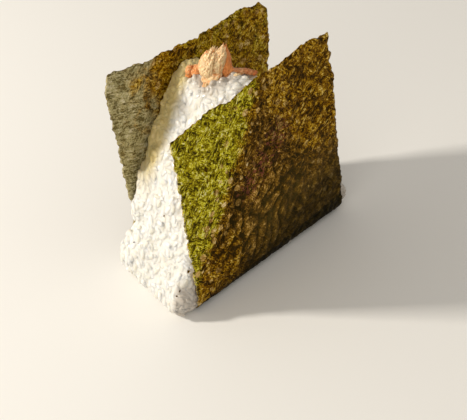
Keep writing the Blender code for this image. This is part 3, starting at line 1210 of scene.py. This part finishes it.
    def mark_shades(self, mesh: BMesh, tints: list[float]) -> None:
        """Store each vertex's tint, and its shares of painted shade by the sheets and the salmon.

        Args:
            mesh: The grains or the core.
            tints: The vertices' tints.
        """
        tint_layer, shade_layer, dim_layer = (
            mesh.verts.layers.float.new(name) for name in ("tint", "shade", "dim")
        )
        for vertex, tint in zip(mesh.verts, tints):
            vertex[tint_layer] = tint
            x, y, z = vertex.co / MM
            # Painted shade beside the back sheet, and painted shadow in a strip along it, at the
            # front corner and around the salmon.
            beside_back = ease(y - 0.1 * (70.0 - z), 4.0, 9.0)
            vertex[shade_layer] = 0.9 * beside_back * ease(z, 28.0, 44.0)
            strip = 0.7 * ease(y, 14.5, 17.0) * ease(z, 18.0, 24.0)
            corner = ease(y, -12.5, -16.0) * ease(z, 17.0, 11.0)
            salmon_shade = ease(math.hypot(x + 2.2, y + 1.0), 11.5, 7.0) * ease(z, 64.0, 68.0)
            vertex[dim_layer] = max(strip, corner, salmon_shade)


@dataclass
class Studio:
    """The camera, the floor and the light."""

    azimuth: float = -41.32
    elevation: float = 37.69
    roll: float = -5.63
    lens: float = 86.7
    sensor: float = 36.0
    nearest: float = 0.01
    distance: float = 0.3997
    aim_right: float = -0.00083
    aim_height: float = 0.01254
    floor_size: float = 4.0
    floor_colour: Colour = (0.86, 0.85, 0.83)
    lamp_distance: float = 0.9
    lamp_aim: float = 0.035
    lamp_colour: Colour = (1.0, 0.94, 0.84)
    key_from: Place = (-0.60, 0.59, 0.50)
    key_size: float = 0.10
    key_power: float = 7.0
    fill_from: Place = (-0.75, -0.48, 0.50)
    fill_size: float = 0.6
    fill_power: float = 2.15
    sky_colour: Colour = (1.0, 0.95, 0.87)
    sky_strength: float = 0.44

    def build(self) -> None:
        """Set up everything around the object."""
        self.add_camera()
        self.add_floor()
        self.add_lamp("key", self.key_from, self.key_size, self.key_power)
        self.add_lamp("fill", self.fill_from, self.fill_size, self.fill_power)
        world = bpy.data.worlds.new("studio")
        world.use_nodes = True
        sky = world.node_tree.nodes["Background"]
        sky.inputs["Color"].default_value = (*self.sky_colour, 1.0)
        sky.inputs["Strength"].default_value = self.sky_strength
        bpy.context.scene.world = world
        bpy.context.scene.view_settings.view_transform = "Standard"

    def add_camera(self) -> None:
        """Stand the camera at its angle and distance, with its small roll."""
        angles = (self.azimuth, self.elevation, self.roll)
        azimuth, elevation, roll = (math.radians(angle) for angle in angles)
        flat = math.cos(elevation)
        back = Vector((math.sin(azimuth) * flat, -math.cos(azimuth) * flat, math.sin(elevation)))
        right = Vector((math.cos(azimuth), math.sin(azimuth), 0.0))
        up = back.cross(right)
        aim = right * self.aim_right + Vector((0.0, 0.0, self.aim_height))
        across = right * math.cos(roll) + up * math.sin(roll)
        upward = up * math.cos(roll) - right * math.sin(roll)
        data = bpy.data.cameras.new("camera")
        data.lens = self.lens
        data.sensor_width = self.sensor
        data.clip_start = self.nearest
        camera = add_object("camera", data)
        turn = Matrix((across, upward, back)).transposed().to_4x4()
        camera.matrix_world = Matrix.Translation(aim + back * self.distance) @ turn
        bpy.context.scene.camera = camera

    def add_floor(self) -> None:
        """Lay a plain pale floor."""
        mesh = bmesh.new()
        bmesh.ops.create_grid(mesh, x_segments=1, y_segments=1, size=self.floor_size / 2)
        data = mesh_data("floor", mesh)
        constants = {"Roughness": 0.8, "Base Color": (*self.floor_colour, 1.0)}
        data.materials.append(Shader("pale_floor", constants).material)
        add_object("floor", data)

    def add_lamp(self, name: str, source: Place, size: float, power: float) -> None:
        """Hang a square lamp.

        Args:
            name: Its name.
            source: The direction that its light comes from.
            size: Length of its side.
            power: Its power in watts.
        """
        data = bpy.data.lights.new(name, "AREA")
        data.shape = "SQUARE"
        data.size = size
        data.energy = power
        data.color = self.lamp_colour
        lamp = add_object(name, data)
        direction = Vector(source).normalized()
        lamp.location = direction * self.lamp_distance + Vector((0.0, 0.0, self.lamp_aim))
        lamp.rotation_euler = direction.to_track_quat("Z", "Y").to_euler()


def main() -> None:
    """Build every part of the scene and note its size."""
    logging.basicConfig(level=logging.INFO, format="%(name)s %(message)s")
    Studio().build()
    nori = NoriWrap()
    salmon = SalmonTopping()
    nori.build()
    salmon.build()
    RiceBlock(nori, salmon).build()


if __name__ == "__main__":
    main()
